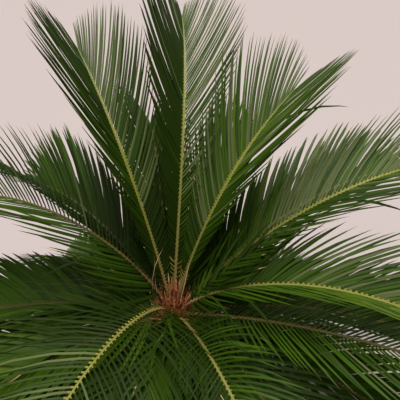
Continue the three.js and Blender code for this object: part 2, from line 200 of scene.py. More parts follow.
class Finish:
    # A material. The shader's fixed values are given by name, and paint() links what varies
    def __init__(self, name, **fixed):
        self.material = bpy.data.materials.new(name)
        self.material.use_nodes = True
        self.tree = self.material.node_tree
        self.shader = self.tree.nodes["Principled BSDF"]
        for socket, value in fixed.items():
            self.paint(socket.replace("_", " "), value)

    def join(self, socket, value):
        if isinstance(value, Wire):
            self.tree.links.new(value.socket, socket)
        elif socket.type == "RGBA":
            socket.default_value = (*value, 1)
        else:
            socket.default_value = value

    def paint(self, socket, value):
        self.join(self.shader.inputs[socket], value)

    def node(self, kind, settings=None, values=None, output=0):
        # A node with its settings and the values or links of its sockets, which gives one of its outputs
        node = self.tree.nodes.new(kind)
        for name, value in (settings or {}).items():
            if name != "stops":
                setattr(node, name, value)
                continue
            for place, colour in value[1:-1]:
                node.color_ramp.elements.new(place)
            for element, (place, colour) in zip(node.color_ramp.elements, value):
                element.position = place
                element.color = (*colour, 1)
        for name, value in (values or {}).items():
            self.join(node.inputs[name], value)
        return Wire(self, node.outputs[output])

    def place(self, stretch=(1, 1, 1)):
        # Object coordinates, stretched
        spot = self.node("ShaderNodeTexCoord", output="Object")
        return self.node("ShaderNodeMapping", values={"Vector": spot, "Scale": stretch})

    def noise(self, scale, detail=3.0, place=None):
        values = {"Vector": place or self.place(), "Scale": scale, "Detail": detail}
        return self.node("ShaderNodeTexNoise", values=values)

    def ramp(self, factor, *stops):
        return self.node("ShaderNodeValToRGB", {"stops": stops}, {"Fac": factor})

    def mix(self, factor, first, second):
        return self.node("ShaderNodeMix", {"data_type": "RGBA"}, {0: factor, 6: first, 7: second}, output=2)

    def relief(self, height, depth):
        # A bump whose height times depth is in metres
        self.paint("Normal", self.node("ShaderNodeBump", values={"Height": height, "Distance": depth}))


# The fronds. A rib leaves the crown in the direction turn, seen from above, with the slope rise. It falls by
# droop in all, the later the higher hang is, and turns by sway on its way, in degrees. stout is its
# thickness, as a share of the usual one. Its leaflets lift by open, the right hand ones by roll more, and
# spread by lean more than usual, in degrees. foot is the first one's share of the longest, sag how far they
# hang, as a share of their length, and breadth their width, as a share of the usual one. The tone field is
# how bright their greens are, from -1 for old to 1 for young, and also holds painted light and shade: whole
# fronds, or their left or right halves, are set darker or lighter by how light falls on them. The sheen
# field is the share painted in a grey tone that stands in for the gloss's sheen, a painted highlight. The
# fields that end in Left are for the left hand ones
frondFields = ("turn", "rise", "droop", "hang", "sway", "length", "open", "roll", "lean", "foot", "sag",
               "breadth", "breadthLeft", "toneAndShade", "toneAndShadeLeft", "stout", "sheen", "sheenLeft")
upperFronds = [
    (122, 67, 32, 1.0, -4, 0.54, 28, -8, 0, 0.12, 0.05, 0.8, 1.25, -0.3, -1.6, 0.95, 0.4, 0.03),
    (76, 68, 48, 1.0, 15, 0.68, 31, -14, -2, 0.04, 0.04, 0.8, 1.5, -0.1, -1.7, 0.95, 0.5, 0.03),
    (38, 67, 40, 1.1, 0, 0.475, 22, -5, -2, 0.04, 0.05, 0.95, 0.8, 0.1, 0.0, 0.95, 0.3, 0.5),
    (5, 48, 63, 1.1, 17, 0.69, 20, -8, 0, 0.25, 0.06, 0.95, 0.8, 0.15, 0.6, 1.12, 0.15, 0.75),
    (-20, 45, 94, 0.85, -3, 0.68, 32, -10, -6, 0.6, 0.1, 0.8, 1.0, 0.35, 0.3, 0.85, 0.05, 0.5),
    (-33, 21, 43, 1.25, 4, 0.68, 14, -4, 4, 0.4, 0.15, 0.75, 0.75, -0.4, -0.4, 1.0, 0.05, 0.1),
    (-70, 28, 90, 0.8, -4, 0.65, 26, -14, 14, 0.35, 0.26, 0.6, 0.75, -1.0, -0.2, 0.8, 0.05, 0.15),
    (-123, 50, 120, 0.7, 8, 0.65, 20, 4, 20, 0.95, 0.3, 0.7, 0.5, 0.4, -1.2, 0.68, 0.25, 0.1),
    (154, 57, 92, 0.8, 2, 0.70, 33, 12, 2, 0.8, 0.08, 0.6, 1.0, -0.8, -0.1, 0.95, 0.1, 0.15),
    (204, 7, 56, 1.0, 0, 0.64, 30, 4, 0, 0.6, 0.14, 1.2, 1.2, 1.2, 1.2, 1.0, 0.05, 0.05),
    (24, 36, 52, 1.2, 4, 0.65, 28, 0, 0, 0.6, 0.08, 1.5, 1.5, 0.1, 0.1, 1.0, 0.4, 0.5),
    (95, 49, 48, 1.2, 0, 0.47, 40, 0, -8, 0.5, 0.04, 1.3, 1.3, -0.8, -0.8, 1.0, 0, 0),
    (62, 46, 50, 1.2, 0, 0.48, 40, 0, -8, 0.5, 0.04, 1.2, 1.2, -0.5, -0.5, 1.0, 0, 0),
    (134, 38, 54, 1.2, 0, 0.48, 34, 0, -4, 0.5, 0.06, 1.2, 1.2, -0.7, -0.7, 1.0, 0, 0),
    (172, 9, 52, 1.1, 0, 0.64, 28, 0, 0, 0.6, 0.1, 1.7, 1.25, 0.1, 0.1, 1.0, 0, 0),
    (-8, 13, 56, 1.1, 0, 0.64, 28, 0, 0, 0.6, 0.1, 1.0, 1.0, -0.1, -0.1, 1.0, 0, 0),
]
# The lowest fronds, evenly round the crown, with the same fields
ring = {
    "count": 12, "start": -23, "rises": (-7, -2), "droop": 46, "hang": 1.25, "lengths": (0.66, 0.63, 0.645),
    "open": 26, "foot": 0.6, "sag": 0.14, "breadth": 1.35, "breadthLeft": 1.35, "tones": (-0.2, 0.2),
    "stout": 1.0,
}
leaf = {
    "seed": 99, "longest": 0.24, "lengthRange": (0.93, 1.0), "fullAt": 0.5, "growBend": 1.8,
    "tipStart": 0.55, "tipLoss": 0.75, "tipBend": 2.0, "width": 0.0052, "widthRange": (0.92, 1.06),
    "widthFall": 0.55, "leastWidth": 0.35, "leanAtBase": 70, "leanFall": 44, "leanBend": 0.4, "tipFold": 14,
    "foldBend": 5, "leanSpread": 0.9, "openSpread": 2, "twistSpread": 9, "waveHandGap": 9, "leanWave": 1.4,
    "openWave": 2, "toneWave": 0.35, "curl": 0.2, "sagRange": (0.6, 1.7), "bentSag": 0.5,
    "rings": (0, 0.02, 0.09, 0.28, 0.5, 0.72, 0.9, 1),
    "widths": (0.7, 0.85, 1.0, 1.0, 1.0, 0.86, 0.46, 0.05),
    "section": ((0.5, -0.04), (0.27, 0.06), (0, -0.015), (-0.27, 0.06), (-0.5, -0.04), (0, -0.1)),
    "toneMiddle": 1.5, "toneGain": 0.9, "toneSpread": 0.45, "paintedShadeEnd": 0.45, "dryTips": 0.05,
    "clearFrom": 0.04, "clearSteps": 25, "lowest": 0.025, "potTop": 0.304, "potRadius": 0.186,
    "pairs": 80,  # leaflets a side
    "bareShare": 0.02,  # of the rib, from the crown to its first leaflet
    "handStep": 0.2,  # of a step, by which the right hand side is ahead
    "placeSpread": 0.06,  # of a step
    "widthByLength": (0.55, 0.45),  # the share that all have, and the one that grows with the length
    "footWidth": 1.3,  # times the width at the rib's foot, less widthFall at its tip
    "fullWidthAt": 0.16,  # of the longest: under it they narrow, down to leastWidth
    "waveRun": 6,  # neighbours lean, lift and darken together, by a wave along the rib
    "bent": 0.012,  # the share of leaflets that hang by bentSag more
    "rootShare": 0.36,  # of the rib's width, from its middle out to a leaflet's root
    "spine": 0.075,  # of the longest: under it they are pale spines
    "paintedShade": 1.8,  # painted shade on an upright rib's greens, deepest at its foot and gone at the end share
    "paintedSheenStart": 0.27,  # the share of the rib, from its foot, without the painted sheen
    "clear": 0.005,  # from other ribs, at clearSteps points from clearFrom of the length
    "shortest": 0.3,  # one that is clear for less is left out
    "cut": (0.97, 0.03),  # the share kept: cut[0] times the clear share, plus cut[1]
}
# The swollen foot of each leaflet
cushion = {
    "length": 0.0068, "lengthRange": (0.75, 1.2), "width": 0.0024, "sink": 0.0008, "forward": 0.75,
    "rise": 0.25, "rings": (0, 0.55, 1), "widths": (1, 0.8, 0.2),
    "section": ((0.5, 0), (0, 0.45), (-0.5, 0), (0, -0.45)),
    "fall": 0.78,  # the share that it loses by the middle of the rib
    "brownShare": 0.11,  # of the rib, where it is brown
    "lift": 0.1,  # of the rib's depth
}
# The finishes after the four greens: a grey painted sheen that stands in for the gloss, pale feet, dry tips
# and brown feet
leafLooks = {"sheen": 4, "foot": 5, "dryTip": 6, "brownFoot": 7}  # after the four greens
rib = {
    "width": 0.0064, "depth": 0.0056, "belly": 0.92, "tipShare": 0.35, "steps": 80, "stations": 96,
    "sides": 12, "footGain": 0.4, "footShare": 0.03, "testPoints": 161,
    "top": 0.14,  # of the depth, as belly is
    "crowding": 1.15,  # of the stations towards its foot
}


def ribHeading(frond, share):
    # heading(turn + sway s, rise - droop s^hang)
    slope = frond["rise"] - frond["droop"] * share ** frond["hang"]
    return heading(frond["turn"] + frond["sway"] * share, slope)


def ribFrame(frond, share):
    # point = start + length times the sum of ribHeading over the steps so far, through their number;
    # along = ribHeading at the share, side = along x up, and over = side x along
    middle = (np.arange(rib["steps"]) + 0.5) / rib["steps"]
    start = crownCentre + heading(frond["turn"], frond["rise"]) * (plant["crownRadius"] + plant["seatGap"])
    travelled = ribHeading(frond, middle).cumsum(0) * frond["length"] / rib["steps"]
    places = start + np.vstack([np.zeros(3), travelled])
    marks = np.linspace(0, 1, rib["steps"] + 1)
    point = np.stack([np.interp(share, marks, places[:, k]) for k in range(3)], -1)
    along = ribHeading(frond, share)
    side = unit(np.cross(along, up))
    return point, along, side, np.cross(side, along)


def ribSize(frond, share):
    # stout (1 - (1 - tipShare) share)
    return frond["stout"] * (1 - (1 - rib["tipShare"]) * share)


def leafletShare(u, foot):
    # min(1, foot + (1 - foot) (u / fullAt)^growBend) (1 - loss ((u - start) / (1 - start))^bend)
    past = np.maximum(0, (u - leaf["tipStart"]) / (1 - leaf["tipStart"]))
    grown = np.minimum(1, foot + (1 - foot) * (u / leaf["fullAt"]) ** leaf["growBend"])
    return grown * (1 - leaf["tipLoss"] * past ** leaf["tipBend"])


def clearShare(points, ribs):
    # Share of a leaflet's length at which points[leaflet, step] first comes near another rib or the pot
    near = np.zeros(points.shape[:2], bool)
    for other in ribs:
        low, high = other.min(0) - leaf["clear"], other.max(0) + leaf["clear"]
        inside = ((points > low) & (points < high)).all(-1)
        gap = np.linalg.norm(points[inside][:, None] - other[None], axis=-1).min(-1, initial=1)
        near[inside] |= gap < leaf["clear"]
    offPot = (points[..., 2] > leaf["potTop"]) | (fromAxis(points) > leaf["potRadius"])
    near |= ~offPot | (points[..., 2] < leaf["lowest"])
    first = np.where(near.any(1), near.argmax(1), near.shape[1])
    return first / near.shape[1]


def bladeLooks(frond, u, right, wave, draw):
    # The finish of each band of a leaflet: middle + gain tone + wave + spread, less painted shade that
    # darkens an upright rib's greens towards its foot, times the sine of its rise, and falls linearly to
    # nothing at the end share, is the number of its green. Then come dry tips, leaflets painted in a grey
    # sheen that stands in for the gloss, and pale feet
    # The frond's tone also holds painted light and shade, set by how light falls on the frond or one half of
    # it
    toneAndShade = leaf["toneMiddle"] + leaf["toneGain"] * np.where(right, frond["toneAndShade"], frond["toneAndShadeLeft"])
    toneAndShade = toneAndShade + leaf["toneWave"] * wave + draw.normal(0, leaf["toneSpread"], len(u))
    upright = max(0, math.sin(math.radians(frond["rise"])))
    # painted shade: the greens darken towards an upright rib's foot, where the crown's centre lies in shade
    toneAndShade -= leaf["paintedShade"] * upright * np.maximum(0, 1 - u / leaf["paintedShadeEnd"])
    green = np.clip(np.round(toneAndShade), 0, leafLooks["sheen"] - 1).astype(int)
    looks = np.repeat(green[:, None], len(leaf["rings"]) - 1, 1)
    looks[draw.random(len(u)) < leaf["dryTips"], -1] = leafLooks["dryTip"]
    # painted sheen: a grey tone on some leaflets stands in for the gloss's reflection
    paintedSheenMask = draw.random(len(u)) < np.where(right, frond["sheen"], frond["sheenLeft"])
    looks[paintedSheenMask & (u > leaf["paintedSheenStart"])] = leafLooks["sheen"]
    looks[:, 0] = leafLooks["foot"]
    looks[leafletShare(u, frond["foot"]) < leaf["spine"]] = leafLooks["foot"]
    return looks


def cushionTube(u, size, root, lines, draw):
    # Each leaflet's swollen foot, which points forward along + outward + rise over and shrinks along the rib
    along, outward, over = lines
    foot = root + over * rib["depth"] * cushion["lift"] * size[:, None] - outward * cushion["sink"]
    straight = unit(cushion["forward"] * along + outward + cushion["rise"] * over)
    size = size * (1 - cushion["fall"] * np.minimum(1, 2 * u))
    length = cushion["length"] * size * draw.uniform(*cushion["lengthRange"], len(u))
    points = blades(foot, straight, along, 0 * along, length, cushion["width"] * size, cushion)
    looks = np.where(u < cushion["brownShare"], leafLooks["brownFoot"], leafLooks["foot"])
    return points, looks[:, None]


def leafletTubes(frond, draw, otherRibs):
    # A leaflet leans forward from the rib by leanAtBase - leanFall u^leanBend - tipFold u^foldBend, lifts by
    # the open angle, curls forward and sags:
    # straight = cos(lean) along + sin(lean) (hand cos(open) side + sin(open) over)
    count = leaf["pairs"]
    both = 2 * count
    hand = np.repeat([1.0, -1.0], count)
    right = hand > 0
    u = np.tile((np.arange(count) + 0.5) / count, 2)
    u = u + hand * leaf["handStep"] / count + draw.normal(0, leaf["placeSpread"] / count, both)
    u = np.clip(u, 0, 1)
    share = leaf["bareShare"] + (1 - leaf["bareShare"]) * u
    point, along, side, over = ribFrame(frond, share)
    side = hand[:, None] * side
    wavePlace = np.stack([u * leaf["waveRun"], hand * leaf["waveHandGap"] + frond["turn"]], -1)
    wave = ripple(wavePlace, size=3.0, seed=5)
    lean = leaf["leanAtBase"] - leaf["leanFall"] * u ** leaf["leanBend"]
    lean = lean - leaf["tipFold"] * u ** leaf["foldBend"] + frond["lean"]
    lean = lean + leaf["leanWave"] * wave + draw.normal(0, leaf["leanSpread"], both)
    opened = frond["open"] + hand * frond["roll"] + leaf["openWave"] * wave
    opened += draw.normal(0, leaf["openSpread"], both)
    lean, opened = np.radians(lean)[:, None], np.radians(opened)[:, None]
    outward = side * np.cos(opened) + over * np.sin(opened)
    straight = np.cos(lean) * along + np.sin(lean) * outward
    sag = frond["sag"] * draw.uniform(*leaf["sagRange"], (both, 1))
    sag += leaf["bentSag"] * (draw.random((both, 1)) < leaf["bent"])
    bend = leaf["curl"] * along - sag * up
    grown = leafletShare(u, frond["foot"])
    length = leaf["longest"] * grown * draw.uniform(*leaf["lengthRange"], both)
    size = ribSize(frond, share)
    root = point + side * rib["width"] * size[:, None] * leaf["rootShare"]
    steps = np.linspace(leaf["clearFrom"], 1, leaf["clearSteps"])[None, :, None]
    reach = root[:, None] + length[:, None, None] * (steps * straight[:, None] + steps ** 2 * bend[:, None])
    free = clearShare(reach, otherRibs)
    kept = free > leaf["shortest"]
    cut = np.minimum(1, free * leaf["cut"][0] + leaf["cut"][1])
    length, bend = length * cut, bend * cut[:, None]
    least, gain = leaf["widthByLength"]
    width = np.where(right, frond["breadth"], frond["breadthLeft"]) * leaf["width"] * (least + gain * grown)
    width = width * (leaf["footWidth"] - leaf["widthFall"] * u) * draw.uniform(*leaf["widthRange"], both)
    width *= np.clip(grown / leaf["fullWidthAt"], leaf["leastWidth"], 1)
    twist = draw.normal(0, leaf["twistSpread"], both)
    points = blades(root, straight, hand[:, None] * along, bend, length, width, leaf, twist)
    looks = bladeLooks(frond, u, right, wave, draw)
    return [(points[kept], looks[kept]), cushionTube(u, size, root, (along, outward, over), draw)]


def ribTube(frond):
    # The rib: a flat-topped round section, point + size (-cos a width/2 side + sin a lift over)
    share = np.linspace(0, 1, rib["stations"]) ** rib["crowding"]
    point, along, side, over = (v[:, None] for v in ribFrame(frond, share))
    angle = np.arange(rib["sides"]) * 2 * math.pi / rib["sides"]
    size = (ribSize(frond, share) * (1 + rib["footGain"] * np.exp(-share / rib["footShare"])))[:, None]
    lift = np.where(np.sin(angle) > 0, rib["top"], rib["belly"]) * rib["depth"] * np.sin(angle)
    section = lift[:, None] * over - rib["width"] / 2 * np.cos(angle)[:, None] * side
    uv = np.stack(np.broadcast_arrays(angle / (2 * math.pi), share[:, None]), -1)[None]
    return [((point + size[..., None] * section)[None], 0, uv)]


# The leaves' tones, from the darkest, for old leaves and painted shade, to young, and a grey one painted as
# the gloss's sheen
leafTones = {
    "leafDeep": (0.015, 0.034, 0.0015), "leafDark": (0.026, 0.060, 0.0025),
    "leafGreen": (0.042, 0.096, 0.0035), "leafYoung": (0.074, 0.136, 0.006),
    "leafPaintedSheen": (0.105, 0.138, 0.046),
}
ribBands = (0, 0.03, 0.12, 0.3, 0.65, 1)  # where along a rib each of its colours is full
ribFootColours = ((0.20, 0.080, 0.034), (0.33, 0.19, 0.082), (0.23, 0.20, 0.050))
ribShift = 0.03  # of its length, by which the blotches shift them
ribBlotch, blotchColour = 0.25, (0.15, 0.13, 0.03)
dullRibs = ("frond_upper_09", "frond_upper_10", "frond_upper_15", "frond_upper_16")
dullTone = -0.35  # a frond with both tones under this also has a dull rib


def leafFinish(name, colour, roughness):
    # A plain tone with a gloss that varies along the blade
    finish = Finish(name, Base_Color=colour, Specular_IOR_Level=0.12)
    spread = 0.16
    finish.paint("Roughness", finish.noise(scale=60, detail=2) * spread + (roughness - spread / 2))
    return finish


def ribFinish(name, low, middle, high):
    # From woolly brown at the crown by a tan stalk to the colours of the rib, by the share of its length
    finish = Finish(name, Specular_IOR_Level=0.45, Roughness=0.42)
    lay = finish.node("ShaderNodeUVMap", {"uv_map": "lay"})
    share = finish.node("ShaderNodeSeparateXYZ", values={0: lay}, output=1)
    patch = finish.noise(scale=55)
    share += (patch - 0.5) * ribShift
    colour = finish.ramp(share, *zip(ribBands, (*ribFootColours, low, middle, high)))
    finish.paint("Base Color", finish.mix(patch * ribBlotch, colour, blotchColour))
    finish.relief(finish.noise(scale=420, detail=2), depth=0.0006)
    return finish


fronds = {}
for number, row in enumerate(upperFronds, 1):
    fronds[f"frond_upper_{number:02d}"] = dict(zip(frondFields, row))
for number in range(ring["count"]):
    frond = {field: ring.get(field, 0) for field in frondFields}
    frond["turn"] = ring["start"] + number * 360 / ring["count"]
    frond["rise"] = ring["rises"][number % 2]
    frond["length"] = ring["lengths"][number % 3]
    frond["toneAndShade"] = frond["toneAndShadeLeft"] = ring["tones"][number % 2]
    fronds[f"frond_ring_{number + 1:02d}"] = frond

leafFinishes = [leafFinish(name, colour, 0.4) for name, colour in leafTones.items()]
youngFoot = leafFinish("leafletFoot", (0.27, 0.26, 0.050), 0.5)
oldFoot = leafFinish("leafletFootOld", (0.10, 0.090, 0.024), 0.5)
brownFoot = leafFinish("leafletFootBrown", (0.25, 0.19, 0.075), 0.55)
dryTip = leafFinish("leafDryTip", (0.45, 0.34, 0.16), 0.6)
stalk = ribFinish("frondRib", (0.21, 0.22, 0.031), (0.27, 0.31, 0.036), (0.13, 0.21, 0.019))
oldStalk = ribFinish("frondRibOld", (0.10, 0.075, 0.022), (0.10, 0.095, 0.020), (0.05, 0.080, 0.010))
testShares = np.linspace(0, 1, rib["testPoints"])
ribPoints = {name: ribFrame(frond, testShares)[0] for name, frond in fronds.items()}
for number, (name, frond) in enumerate(fronds.items(), 1):
    draw = np.random.default_rng(leaf["seed"] + number)
    nodes = [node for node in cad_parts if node.startswith(name)]
    others = [points for other, points in ribPoints.items() if other != name]
    old = max(frond["toneAndShade"], frond["toneAndShadeLeft"]) < dullTone or number > len(upperFronds) or name in dullRibs
    finishes = leafFinishes + [oldFoot if old else youngFoot, dryTip, brownFoot]
    makePiece(name + "_leaflets", leafletTubes(frond, draw, others), finishes, nodes, sharp=50)
    makePiece(name + "_rib", ribTube(frond), [oldStalk if old else stalk], nodes)
print("fronds grown:", len(fronds))


# The crown: a woolly dome with pointed scales, cut stalks, dry spears and wool
crown = {
    "rows": 22, "sides": 72, "topSlope": 89, "innerRadius": 0.012, "lumps": 0.0012, "hairs": 1200,
    "hairLength": 0.008,
    "flatFoot": 0.001,  # the height without lumps
    "hairLowest": -0.45,  # the sine of the lowest slope with hairs
}
scale = {
    "count": 150, "offset": (-0.2, 0.2), "span": 1.15, "stray": 0.12, "lift": (0.2, 0.75), "length": 0.032,
    "lengthRange": (0.55, 1.0), "width": 0.0075, "widthRange": (0.7, 1.1), "sink": 0.002, "curlUp": 0.22,
    "curlIn": 0.12, "rings": (0, 0.2, 0.45, 0.7, 0.88, 1), "widths": (0.9, 1, 0.8, 0.5, 0.25, 0.04),
    "section": ((0.5, 0), (0.2, 0.16), (-0.2, 0.16), (-0.5, 0), (0, -0.12)), "looks": (1, 1, 2, 2, 3),
    "paleLooks": (1, 2, 2, 3, 3), "paleShare": 0.35,
    "growth": (0.7, 0.3, 1.1),  # of the length: everywhere, towards the top and on the back
}
stub = {
    "count": 11, "offset": (0.1, 0.5), "slopes": (-14, 8), "lift": 0.35, "length": 0.022,
    "lengthRange": (0.7, 1.1), "width": 0.011, "sink": 0.003, "rings": (0, 0.3, 0.7, 0.96, 1),
    "widths": (1.1, 0.95, 0.85, 0.82, 0.74),
    "section": ((0.5, 0), (0.3, 0.22), (-0.3, 0.22), (-0.5, 0), (-0.3, -0.3), (0.3, -0.3)),
    "looks": (1, 2, 2, 4),
}
spear = {
    "length": 0.135, "width": 0.0042, "sink": 0.002, "look": 3,
    # turn, slope, lean and curl to +X
    "rows": ((188, 20, -0.38, 0.45), (170, 34, -0.2, 0.15), (10, 60, 0.25, 0)), "away": 0.2,
    "shares": (1, 0.6),  # of the length, from the first one to the last
}
hair = {
    "stray": 0.65, "crook": 0.35, "lengthRange": (0.5, 1.2), "width": 0.0004, "rings": (0, 0.5, 1),
    "widths": (1, 0.8, 0.15), "section": ((0.5, -0.3), (0, 0.6), (-0.5, -0.3)),
}
# Young leaves that hang, half unrolled, from the crown's front. turn and slope are middles and spreads
tuft = {
    "count": 60, "turn": (-92, 9), "slope": (24, 7), "length": 0.14, "lengthRange": (0.35, 1.1),
    "width": 0.0065, "widthRange": (0.7, 1.1), "sink": 0.002, "lift": 0.25, "stray": 0.07, "sag": 0.8,
    "sagRange": (0.5, 1.5), "crook": 0.22, "twist": 120, "greens": 3,
}


def crownBlades(piece, spots, straight, bend, length, width, twist=0.0):
    # Blades from centre + spot (radius - sink) on the crown, level across: up x spot. They are shaped like
    # leaflets where the piece has no rings, widths and section of its own
    root = crownCentre + spots * (plant["crownRadius"] - piece["sink"])
    across = unit(np.cross(up, spots))
    return blades(root, unit(straight), across, bend, length, width, {**leaf, **piece}, twist)


def scaleTube(draw):
    # Pointed scales by the golden angle from the pole down, with sin(slope) = 1 - span (i + 0.5) / count,
    # straight = spot + lift up + stray and bend = curlUp up - curlIn spot
    count = scale["count"]
    i = np.arange(count) + draw.uniform(*scale["offset"], count)
    slope = np.degrees(np.arcsin(np.clip(1 - scale["span"] * (i + 0.5) / count, -1, 1)))
    spots = heading(i * goldenAngle, slope)
    straight = spots + up * draw.uniform(*scale["lift"], (count, 1))
    straight += draw.normal(0, scale["stray"], (count, 3))
    low, top, back = scale["growth"]
    length = scale["length"] * draw.uniform(*scale["lengthRange"], count)
    length *= low + top * spots[:, 2] + back * np.maximum(0, spots[:, 1])
    width = scale["width"] * draw.uniform(*scale["widthRange"], count)
    bend = scale["curlUp"] * up - scale["curlIn"] * spots
    pale = draw.random((count, 1)) < scale["paleShare"]
    looks = np.where(pale, scale["paleLooks"], scale["looks"])
    return crownBlades(scale, spots, straight, bend, length, width), looks


def stubTube(draw):
    # Cut stalks all round, by turns on the lower and the higher slope: straight = spot + lift up
    number = np.arange(stub["count"])
    turn = (number + draw.uniform(*stub["offset"], stub["count"])) * 360 / stub["count"]
    spots = heading(turn, np.array(stub["slopes"])[number % 2])
    length = stub["length"] * draw.uniform(*stub["lengthRange"], stub["count"])
    straight = spots + stub["lift"] * up
    return crownBlades(stub, spots, straight, 0 * spots, length, stub["width"]), stub["looks"]


def spearTube():
    # Dry blades: straight = (lean, away, 1), with bend = (curl, 0, 0)
    turn, slope, lean, curl = np.array(spear["rows"]).T
    spots = heading(turn, slope)
    none = 0 * lean
    length = spear["length"] * np.linspace(*spear["shares"], len(spots))
    straight = np.stack([lean, none + spear["away"], none + 1], -1)
    bend = np.stack([curl, none, none], -1)
    return crownBlades(spear, spots, straight, bend, length, spear["width"]), spear["look"]


def crownTubes(draw):
    # The dome, (r cos s, r sin s) for slopes s from its foot to the top, and all that stands on it
    radius = plant["crownRadius"]
    slope = np.radians(np.linspace(plant["crownFootSlope"], crown["topSlope"], crown["rows"]))
    outline = np.stack([radius * np.cos(slope), crownCentre[2] + radius * np.sin(slope)], -1)
    outline = np.concatenate([[[crown["innerRadius"], plant["crownFoot"]]], outline])

    def lumps(points):
        # lumps times a ripple, above the flat foot
        bump = crown["lumps"] * ripple(points, size=0.012, seed=3)
        return bump * (points[..., 2] > plant["crownFoot"] + crown["flatFoot"]), 0

    return [turnedTube(outline, crown["sides"], lumps), scaleTube(draw), stubTube(draw), spearTube()]


def hairTube(root, outward, length, draw):
    # Fine hairs: straight = outward + stray, with a random bend
    count = len(root)
    straight = unit(outward + draw.normal(0, hair["stray"], (count, 3)))
    across = unit(np.cross(straight, draw.normal(size=(count, 3))))
    bend = draw.normal(0, hair["crook"], (count, 3))
    length = length * draw.uniform(*hair["lengthRange"], count)
    return blades(root, straight, across, bend, length, hair["width"], hair), 0


def tuftTube(draw):
    # Blades that leave the crown outward and fall: straight + t bend, with bend = -sag up
    count = tuft["count"]
    spots = heading(draw.normal(*tuft["turn"], count), draw.normal(*tuft["slope"], count))
    straight = spots + tuft["lift"] * up + draw.normal(0, tuft["stray"], (count, 3))
    bend = -tuft["sag"] * draw.uniform(*tuft["sagRange"], (count, 1)) * up
    bend += draw.normal(0, tuft["crook"], (count, 3))
    length = tuft["length"] * draw.uniform(*tuft["lengthRange"], count)
    width = tuft["width"] * draw.uniform(*tuft["widthRange"], count)
    twist = draw.normal(0, tuft["twist"], count)
    points = crownBlades(tuft, spots, straight, bend, length, width, twist)
    return points, draw.integers(0, tuft["greens"], (count, 1))


def woolFinish(name, dark, light, grain, ends=(0.32, 0.66)):
    # Matted fibres: a mottle of two browns with a fine relief
    finish = Finish(name, Roughness=0.92, Specular_IOR_Level=0.2)
    fleck = finish.noise(grain, detail=5)
    finish.paint("Base Color", finish.ramp(fleck, *zip(ends, (dark, light))))
    finish.relief(fleck, depth=0.0015)
    return finish


draw = np.random.default_rng(plant["seed"])
makePiece("crown_tuft", [tuftTube(draw)], leafFinishes, ["crown"], sharp=50)
crownFinishes = [
    woolFinish("crownWool", (0.095, 0.036, 0.016), (0.40, 0.17, 0.072), 260),
    leafFinish("scaleFoot", (0.16, 0.052, 0.020), 0.75),
    leafFinish("scaleRust", (0.56, 0.22, 0.095), 0.7),
    leafFinish("scaleTip", (0.76, 0.50, 0.29), 0.65),
    woolFinish("cutStalk", (0.34, 0.17, 0.07), (0.52, 0.32, 0.15), 300),
]
makePiece("crown_scales", crownTubes(draw), crownFinishes, ["crown"], sharp=60)
turn = draw.uniform(0, 360, crown["hairs"])
slope = np.degrees(np.arcsin(draw.uniform(crown["hairLowest"], 1, crown["hairs"])))
spots = heading(turn, slope)
hairs = hairTube(crownCentre + spots * plant["crownRadius"], spots, crown["hairLength"], draw)
makePiece("crown_wool", [hairs], [leafFinish("woolHair", (0.34, 0.17, 0.08), 0.8)], ["crown"])
print("crown made")


# The trunk: a bulb under a net of old leaf bases, each with the stub of its stalk
trunk = {
    "bulge": 0.066, "bulgeBend": 2.4, "rootFlare": 0.005, "flareBend": 6, "stations": 100, "sides": 234,
    "footRadius": 0.02, "topRadius": 0.015, "around": 13, "rows": 9, "relief": 0.005, "padSlope": 2.2,
    "padBend": 0.7, "grain": 0.0007, "grainStretch": (1, 1, 0.4), "edgeSlope": 2,
    "colours": ((0, (0.085, 0.062, 0.045)), (0.55, (0.115, 0.066, 0.038)), (1, (0.20, 0.085, 0.035))),
    "seamColour": (0.022, 0.012, 0.008), "hairs": 900, "hairLength": 0.009, "hairLowest": 0.35,
    "plainRadius": 0.03,  # of the caps, which have no relief
    "padShares": (0.8, 0.2),  # of the relief: the rounded pad and the ridge over it
    "fibreShift": 0.5,  # of the height, by which fibres shift the colours
}
leafStub = {
    "turnSpread": 0.8, "length": 0.0085, "lengthRange": (0.7, 1.7), "lengthByHeight": (0.75, 0.5),
    "width": 0.019, "widthRange": (0.85, 1.1), "widthFall": 0.3, "rings": (0, 0.4, 0.75, 0.95, 1),
    "widths": (1.15, 1, 0.9, 0.8, 0.66),
    "section": ((0.5, 0), (0.28, 0.2), (-0.28, 0.2), (-0.5, 0), (-0.28, -0.24), (0.28, -0.24)),
    "looks": (1, 1, 1, 2), "grain": 0.0006,
    "lift": (0.25, 0.5),  # at the trunk's foot, and how much more at its top
}


def trunkRadius(share):
    # top + (bulge - top) sqrt(1 - share^bulgeBend) + rootFlare (1 - share)^flareBend, up to the crown's foot
    top = plant["crownRadius"] * math.cos(footSlope)
    belly = (trunk["bulge"] - top) * np.sqrt(1 - share ** trunk["bulgeBend"])
    return top + belly + trunk["rootFlare"] * (1 - share) ** trunk["flareBend"]


def trunkPoint(outward, share):
    # outward times the radius, at foot + share height
    level = plant["trunkFoot"] + share * plant["trunkHeight"]
    return outward * trunkRadius(share)[:, None] + up * level[:, None]


